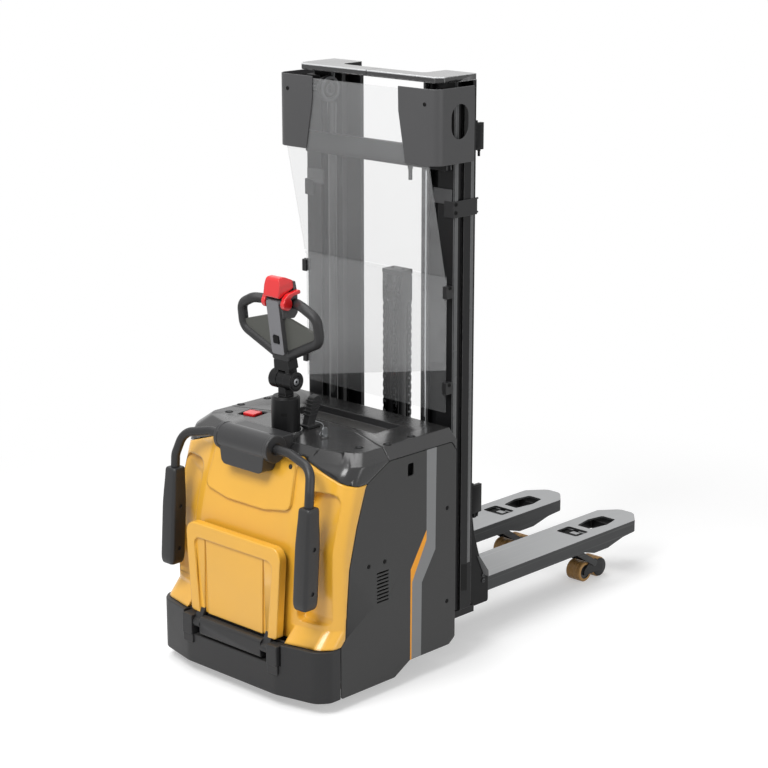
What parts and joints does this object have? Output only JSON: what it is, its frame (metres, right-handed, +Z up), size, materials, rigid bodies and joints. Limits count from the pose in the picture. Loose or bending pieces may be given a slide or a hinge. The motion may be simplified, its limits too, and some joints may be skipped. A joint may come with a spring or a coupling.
{
  "type": "initial lift stacker",
  "caption": "Walk-behind and ride-on stacker truck with a two-stage mast, liftable support legs, folding platform, guard arms and a steering tiller.",
  "frame": {"origin": "on the floor under the middle of the bounding box", "axes": "+X from the operator towards the fork tips, +Y to the truck's left, +Z up"},
  "size_m": [2.01, 0.829, 2.086],
  "materials": {
    "yellow_cover": "smooth moulded plastic, satin gloss",
    "yellow_paint": "satin paint on pressed steel",
    "panel_grey": "fine-grained dark plastic",
    "black_moulding": "fine-grained black plastic",
    "bumper_black": "textured powder coat",
    "gloss_black": "gloss black plastic",
    "frame_paint": "dark powder coat",
    "battery_case": "plain moulded case",
    "hydraulics": "as cast",
    "cylinder_black": "satin black paint",
    "signal_red": "gloss red plastic",
    "key_steel": "brushed",
    "plug_black": "matt moulded plastic",
    "gearbox_iron": "painted casting",
    "motor_paint": "satin black",
    "column_paint": "satin black powder coat",
    "drive_tread": "polyurethane tread",
    "wheel_hub": "machined casting",
    "grip_black": "soft-touch grip",
    "head_grey": "fine-grained grey plastic",
    "castor_steel": "black zinc",
    "castor_tread": "polyurethane tread",
    "mat_rubber": "ribbed mat",
    "arm_black": "satin black tube",
    "pad_black": "soft moulded pad",
    "mast_black": "satin black paint",
    "clear_sheet": "clear safety sheet",
    "bracket_black": "fine powder coat",
    "rod_chrome": "ground and plated",
    "steel": "oiled steel",
    "crosshead_paint": "satin black paint",
    "carriage_paint": "satin dark paint",
    "fork_paint": "satin grey paint",
    "gear_paint": "satin dark paint",
    "load_tread": "brown polyurethane"
  },
  "bodies": {
    "chassis": {"base_frame": "frame_paint", "bumper_skirt": "bumper_black", "front_cover": "yellow_cover", "side_panel_left": "panel_grey", "side_panel_right": "panel_grey", "dashboard_cover": "black_moulding", "battery_lid": "black_moulding", "arm_housing": "gloss_black", "battery_pack": "battery_case", "pump_and_controller": "hydraulics", "initial_lift_barrel": "cylinder_black", "platform_hinge_covers": "gloss_black"},
    "stop_button": {"emergency_stop_button": "signal_red"},
    "key": {"ignition_key": "key_steel"},
    "plug": {"battery_plug": "plug_black"},
    "drive_unit": {"drive_gearbox": "gearbox_iron", "drive_motor": "motor_paint", "steering_column": "column_paint"},
    "drive_wheel": {"drive_tyre": "drive_tread", "drive_hub": "wheel_hub"},
    "tiller": {"tiller_arm": "column_paint", "handle_loop": "grip_black", "control_head": "head_grey"},
    "belly": {"belly_button": "signal_red"},
    "butterfly": {"butterfly_switch": "signal_red"},
    "creep": {"creep_button": "plug_black"},
    "platform": {"platform_plate": "yellow_paint", "platform_mat": "mat_rubber"},
    "lift_frame": {"lift_frame": "mast_black", "mast_outer": "mast_black", "mast_guard": "clear_sheet", "guard_brackets": "bracket_black", "lift_cylinder_barrels": "cylinder_black"},
    "push_rods": {"push_rods": "steel"},
    "inner_mast": {"mast_inner": "mast_black", "lift_cylinder_rods": "rod_chrome", "mast_rollers": "steel", "free_lift_barrel": "cylinder_black"},
    "crosshead": {"free_lift_crosshead": "crosshead_paint", "free_lift_chains": "steel"},
    "carriage": {"carriage_frame": "carriage_paint", "fork_left": "fork_paint", "fork_right": "fork_paint", "carriage_rollers": "steel"},
    "guard_arm_left": {"guard_arm_left": "arm_black", "guard_pad_left": "pad_black"},
    "castor_left": {"castor_fork_left": "castor_steel"},
    "castor_wheel_left": {"castor_wheel_left": "castor_tread"},
    "guard_arm_right": {"guard_arm_right": "arm_black", "guard_pad_right": "pad_black"},
    "castor_right": {"castor_fork_right": "castor_steel"},
    "castor_wheel_right": {"castor_wheel_right": "castor_tread"},
    "load_arm_left": {"load_arm_left": "gear_paint"},
    "load_bogie_left": {"load_bogie_left": "gear_paint"},
    "load_wheel_rear_left": {"load_wheel_rear_left": "load_tread"},
    "load_wheel_front_left": {"load_wheel_front_left": "load_tread"},
    "load_arm_right": {"load_arm_right": "gear_paint"},
    "load_bogie_right": {"load_bogie_right": "gear_paint"},
    "load_wheel_rear_right": {"load_wheel_rear_right": "load_tread"},
    "load_wheel_front_right": {"load_wheel_front_right": "load_tread"}
  },
  "joints": [
    {"name": "steering", "type": "hinge", "parent": "chassis", "child": "drive_unit", "pos_m": [-0.717, 0, 0.312], "axis": [0, 0, 1], "range_deg": [-90, 90]},
    {"name": "drive_wheel_spin", "type": "hinge", "parent": "drive_unit", "child": "drive_wheel", "pos_m": [-0.717, 0, 0.115], "axis": [0, 1, 0], "continuous": true},
    {"name": "tiller_tilt", "type": "hinge", "parent": "drive_unit", "child": "tiller", "pos_m": [-0.715, 0, 1.058], "axis": [0, -1, 0], "range_deg": [0, 72], "stiffness_Nm_per_rad": 10, "springref_deg": -45.84},
    {"name": "belly_press", "type": "slide", "parent": "tiller", "child": "belly", "axis": [0.1357, 0, -0.9907], "range_m": [0, 0.006], "stiffness_N_per_m": 2000, "springref_m": -0.02},
    {"name": "butterfly_twist", "type": "hinge", "parent": "tiller", "child": "butterfly", "pos_m": [-0.753, 0, 1.33541], "axis": [0, 1, 0], "range_deg": [-12, 12], "stiffness_Nm_per_rad": 1},
    {"name": "creep_press", "type": "slide", "parent": "tiller", "child": "creep", "axis": [0.9907, 0, 0.1357], "range_m": [0, 0.003], "stiffness_N_per_m": 500, "springref_m": -0.004},
    {"name": "stop_press", "type": "slide", "parent": "chassis", "child": "stop_button", "axis": [0, 0, -1], "range_m": [0, 0.006]},
    {"name": "key_turn", "type": "hinge", "parent": "chassis", "child": "key", "pos_m": [-0.677, -0.15, 0.874], "axis": [0, 0, 1], "range_deg": [0, 70]},
    {"name": "plug_pull", "type": "slide", "parent": "chassis", "child": "plug", "axis": [0, 0, 1], "range_m": [0, 0.07]},
    {"name": "platform_fold", "type": "hinge", "parent": "chassis", "child": "platform", "pos_m": [-0.985, 0, 0.196], "axis": [0, -1, 0], "range_deg": [0, 90]},
    {"name": "guard_arm_left_swing", "type": "hinge", "parent": "chassis", "child": "guard_arm_left", "pos_m": [-0.889, 0.13, 0.871], "axis": [0, 1, 0], "range_deg": [0, 95]},
    {"name": "castor_left_swivel", "type": "hinge", "parent": "chassis", "child": "castor_left", "pos_m": [-0.767, 0.29, 0.118], "axis": [0, 0, 1], "continuous": true},
    {"name": "castor_wheel_left_spin", "type": "hinge", "parent": "castor_left", "child": "castor_wheel_left", "pos_m": [-0.797, 0.29, 0.05], "axis": [0, 1, 0], "continuous": true},
    {"name": "guard_arm_right_swing", "type": "hinge", "parent": "chassis", "child": "guard_arm_right", "pos_m": [-0.889, -0.13, 0.871], "axis": [0, 1, 0], "range_deg": [0, 95]},
    {"name": "castor_right_swivel", "type": "hinge", "parent": "chassis", "child": "castor_right", "pos_m": [-0.767, -0.29, 0.118], "axis": [0, 0, 1], "continuous": true},
    {"name": "castor_wheel_right_spin", "type": "hinge", "parent": "castor_right", "child": "castor_wheel_right", "pos_m": [-0.797, -0.29, 0.05], "axis": [0, 1, 0], "continuous": true},
    {"name": "initial_lift", "type": "slide", "parent": "chassis", "child": "lift_frame", "axis": [0, 0, 1], "range_m": [-0.12, 0]},
    {"name": "load_arm_left_swing", "type": "hinge", "parent": "lift_frame", "child": "load_arm_left", "pos_m": [0.57067, 0.191, 0.178], "axis": [0, -1, 0], "range_deg": [0, 36.14]},
    {"name": "load_bogie_left_level", "type": "hinge", "parent": "load_arm_left", "child": "load_bogie_left", "pos_m": [0.739, 0.191, 0.07], "axis": [0, -1, 0], "range_deg": [-36.14, 0]},
    {"name": "load_wheel_rear_left_spin", "type": "hinge", "parent": "load_bogie_left", "child": "load_wheel_rear_left", "pos_m": [0.696, 0.191, 0.04], "axis": [0, 1, 0], "continuous": true},
    {"name": "load_wheel_front_left_spin", "type": "hinge", "parent": "load_bogie_left", "child": "load_wheel_front_left", "pos_m": [0.782, 0.191, 0.04], "axis": [0, 1, 0], "continuous": true},
    {"name": "load_arm_right_swing", "type": "hinge", "parent": "lift_frame", "child": "load_arm_right", "pos_m": [0.57067, -0.191, 0.178], "axis": [0, -1, 0], "range_deg": [0, 36.14]},
    {"name": "load_bogie_right_level", "type": "hinge", "parent": "load_arm_right", "child": "load_bogie_right", "pos_m": [0.739, -0.191, 0.07], "axis": [0, -1, 0], "range_deg": [-36.14, 0]},
    {"name": "load_wheel_rear_right_spin", "type": "hinge", "parent": "load_bogie_right", "child": "load_wheel_rear_right", "pos_m": [0.696, -0.191, 0.04], "axis": [0, 1, 0], "continuous": true},
    {"name": "load_wheel_front_right_spin", "type": "hinge", "parent": "load_bogie_right", "child": "load_wheel_front_right", "pos_m": [0.782, -0.191, 0.04], "axis": [0, 1, 0], "continuous": true},
    {"name": "push_rod_travel", "type": "slide", "parent": "lift_frame", "child": "push_rods", "axis": [1, 0, 0], "range_m": [-0.0125, 0]},
    {"name": "mast_lift", "type": "slide", "parent": "lift_frame", "child": "inner_mast", "axis": [0, 0, 1], "range_m": [0, 1.35]},
    {"name": "free_lift", "type": "slide", "parent": "inner_mast", "child": "carriage", "axis": [0, 0, 1], "range_m": [0, 1.3], "deforming": ["free_lift_chains"]},
    {"name": "crosshead_rise", "type": "slide", "parent": "inner_mast", "child": "crosshead", "axis": [0, 0, 1], "range_m": [0, 0.65]}
  ],
  "couplings": [
    {"joint": "load_arm_left_swing", "follows": "initial_lift", "rad_per_m": -5.2539},
    {"joint": "load_bogie_left_level", "follows": "initial_lift", "rad_per_m": 5.2539},
    {"joint": "load_arm_right_swing", "follows": "initial_lift", "rad_per_m": -5.2539},
    {"joint": "load_bogie_right_level", "follows": "initial_lift", "rad_per_m": 5.2539},
    {"joint": "push_rod_travel", "follows": "initial_lift", "ratio": 0.10335},
    {"joint": "crosshead_rise", "follows": "free_lift", "ratio": 0.5}
  ]
}
